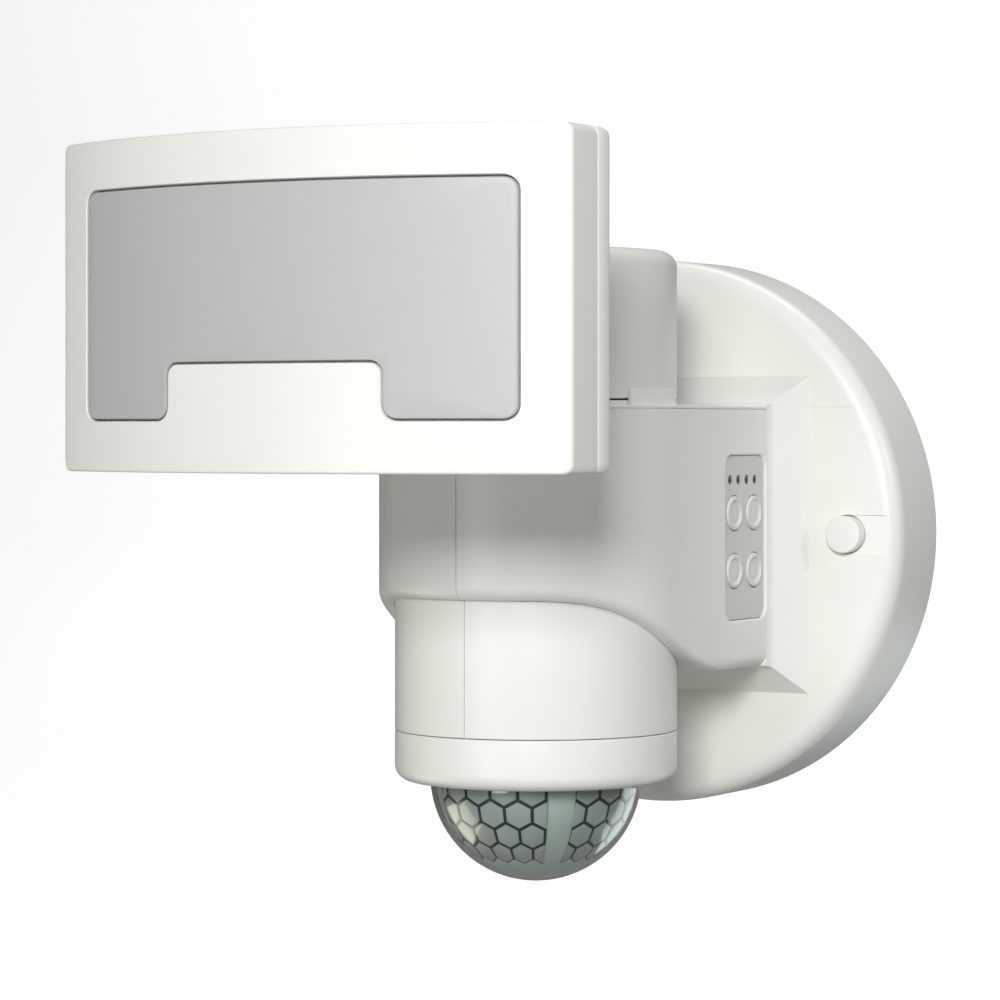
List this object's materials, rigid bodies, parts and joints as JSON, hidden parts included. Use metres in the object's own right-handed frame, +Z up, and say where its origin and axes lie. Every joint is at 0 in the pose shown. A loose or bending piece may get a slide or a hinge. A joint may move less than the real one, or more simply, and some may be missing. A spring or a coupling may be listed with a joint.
{
  "type": "wall floodlight with movement sensor",
  "caption": "Round-flanged wall floodlight: a curved lamp panel on a motor-turned head, an arm with a small keypad, and a domed movement sensor under the collar.",
  "frame": {"origin": "centre of the back face of the wall flange, on the wall", "axes": "+Y into the wall, -Y out from the wall the way the lamp points at rest, +Z up, X across with the keypad on +X"},
  "size_m": [0.171, 0.2471, 0.2135],
  "materials": {
    "white_shell": "satin moulded, very fine grain",
    "button_plastic": "satin",
    "panel_plastic": "satin",
    "inner_plastic": "plain moulded",
    "foam_rubber": "closed-cell foam",
    "seal_rubber": "smooth",
    "brass": "turned",
    "screw_steel": "zinc plated",
    "plated_steel": "zinc plated",
    "gear_nylon": "natural nylon",
    "circuit_board": "solder mask",
    "dark_parts": "moulded",
    "dark_lens": "smoked lens",
    "dome_clear": "polished, slightly green",
    "lens_plain": "translucent",
    "lens_cells": "translucent with cells",
    "sensor_can": "plated can",
    "window_grey": "milky grey",
    "white_reflector": "gloss white",
    "led_board": "white solder mask on metal",
    "led_chip": "phosphor",
    "heatsink": "as extruded"
  },
  "bodies": {
    "mount": {"wall_flange": "white_shell", "back_plate": "inner_plastic", "wall_gasket": "foam_rubber", "cable_grommet": "seal_rubber", "terminal_block": "inner_plastic", "terminal_screws": "brass", "plate_screws": "screw_steel", "screw_plugs": "white_shell", "arm_shell_left": "white_shell", "arm_shell_right": "white_shell", "shell_screws": "screw_steel", "top_cover": "white_shell", "pan_bushing": "brass", "motor_bracket": "plated_steel", "pan_motor": "plated_steel", "bracket_screws": "screw_steel", "driver_board": "circuit_board", "power_parts": "dark_parts", "control_plate": "panel_plastic", "status_leds": "dark_lens", "control_board": "circuit_board", "tact_switches": "dark_parts", "sleeve_left": "white_shell", "sleeve_right": "white_shell", "sensor_ring": "white_shell", "dome_cover": "dome_clear", "lens_frame": "lens_plain", "lens_front": "lens_cells", "lens_left": "lens_cells", "lens_right": "lens_cells", "pir_holder": "dark_parts", "pir_sensors": "sensor_can", "pir_board": "circuit_board"},
    "head": {"head_housing": "white_shell", "head_back": "white_shell", "front_bezel": "white_shell", "lamp_window": "window_grey", "window_gasket": "seal_rubber", "reflector": "white_reflector", "led_boards": "led_board", "led_emitters": "led_chip", "heatsink": "heatsink", "bezel_screws": "screw_steel", "pan_spindle": "plated_steel", "pan_gear": "gear_nylon", "spindle_clip": "plated_steel", "spindle_screws": "screw_steel"},
    "pinion": {"motor_shaft": "plated_steel", "motor_pinion": "gear_nylon"},
    "button_1": {"button_1": "button_plastic"},
    "button_2": {"button_2": "button_plastic"},
    "button_3": {"button_3": "button_plastic"},
    "button_4": {"button_4": "button_plastic"}
  },
  "joints": [
    {"name": "head_pan", "type": "hinge", "parent": "mount", "child": "head", "pos_m": [0, -0.102, 0.04], "axis": [0, 0, 1], "range_deg": [-90, 90]},
    {"name": "pinion_spin", "type": "hinge", "parent": "mount", "child": "pinion", "pos_m": [0, -0.076, 0.03], "axis": [0, 0, 1], "range_deg": [-300.5, 300.5]},
    {"name": "button_1_press", "type": "slide", "parent": "mount", "child": "button_1", "axis": [-1, 0, 0], "range_m": [0, 0.0008], "stiffness_N_per_m": 800},
    {"name": "button_2_press", "type": "slide", "parent": "mount", "child": "button_2", "axis": [-1, 0, 0], "range_m": [0, 0.0008], "stiffness_N_per_m": 800},
    {"name": "button_3_press", "type": "slide", "parent": "mount", "child": "button_3", "axis": [-1, 0, 0], "range_m": [0, 0.0008], "stiffness_N_per_m": 800},
    {"name": "button_4_press", "type": "slide", "parent": "mount", "child": "button_4", "axis": [-1, 0, 0], "range_m": [0, 0.0008], "stiffness_N_per_m": 800}
  ],
  "couplings": [
    {"joint": "pinion_spin", "follows": "head_pan", "ratio": -3.3333}
  ]
}
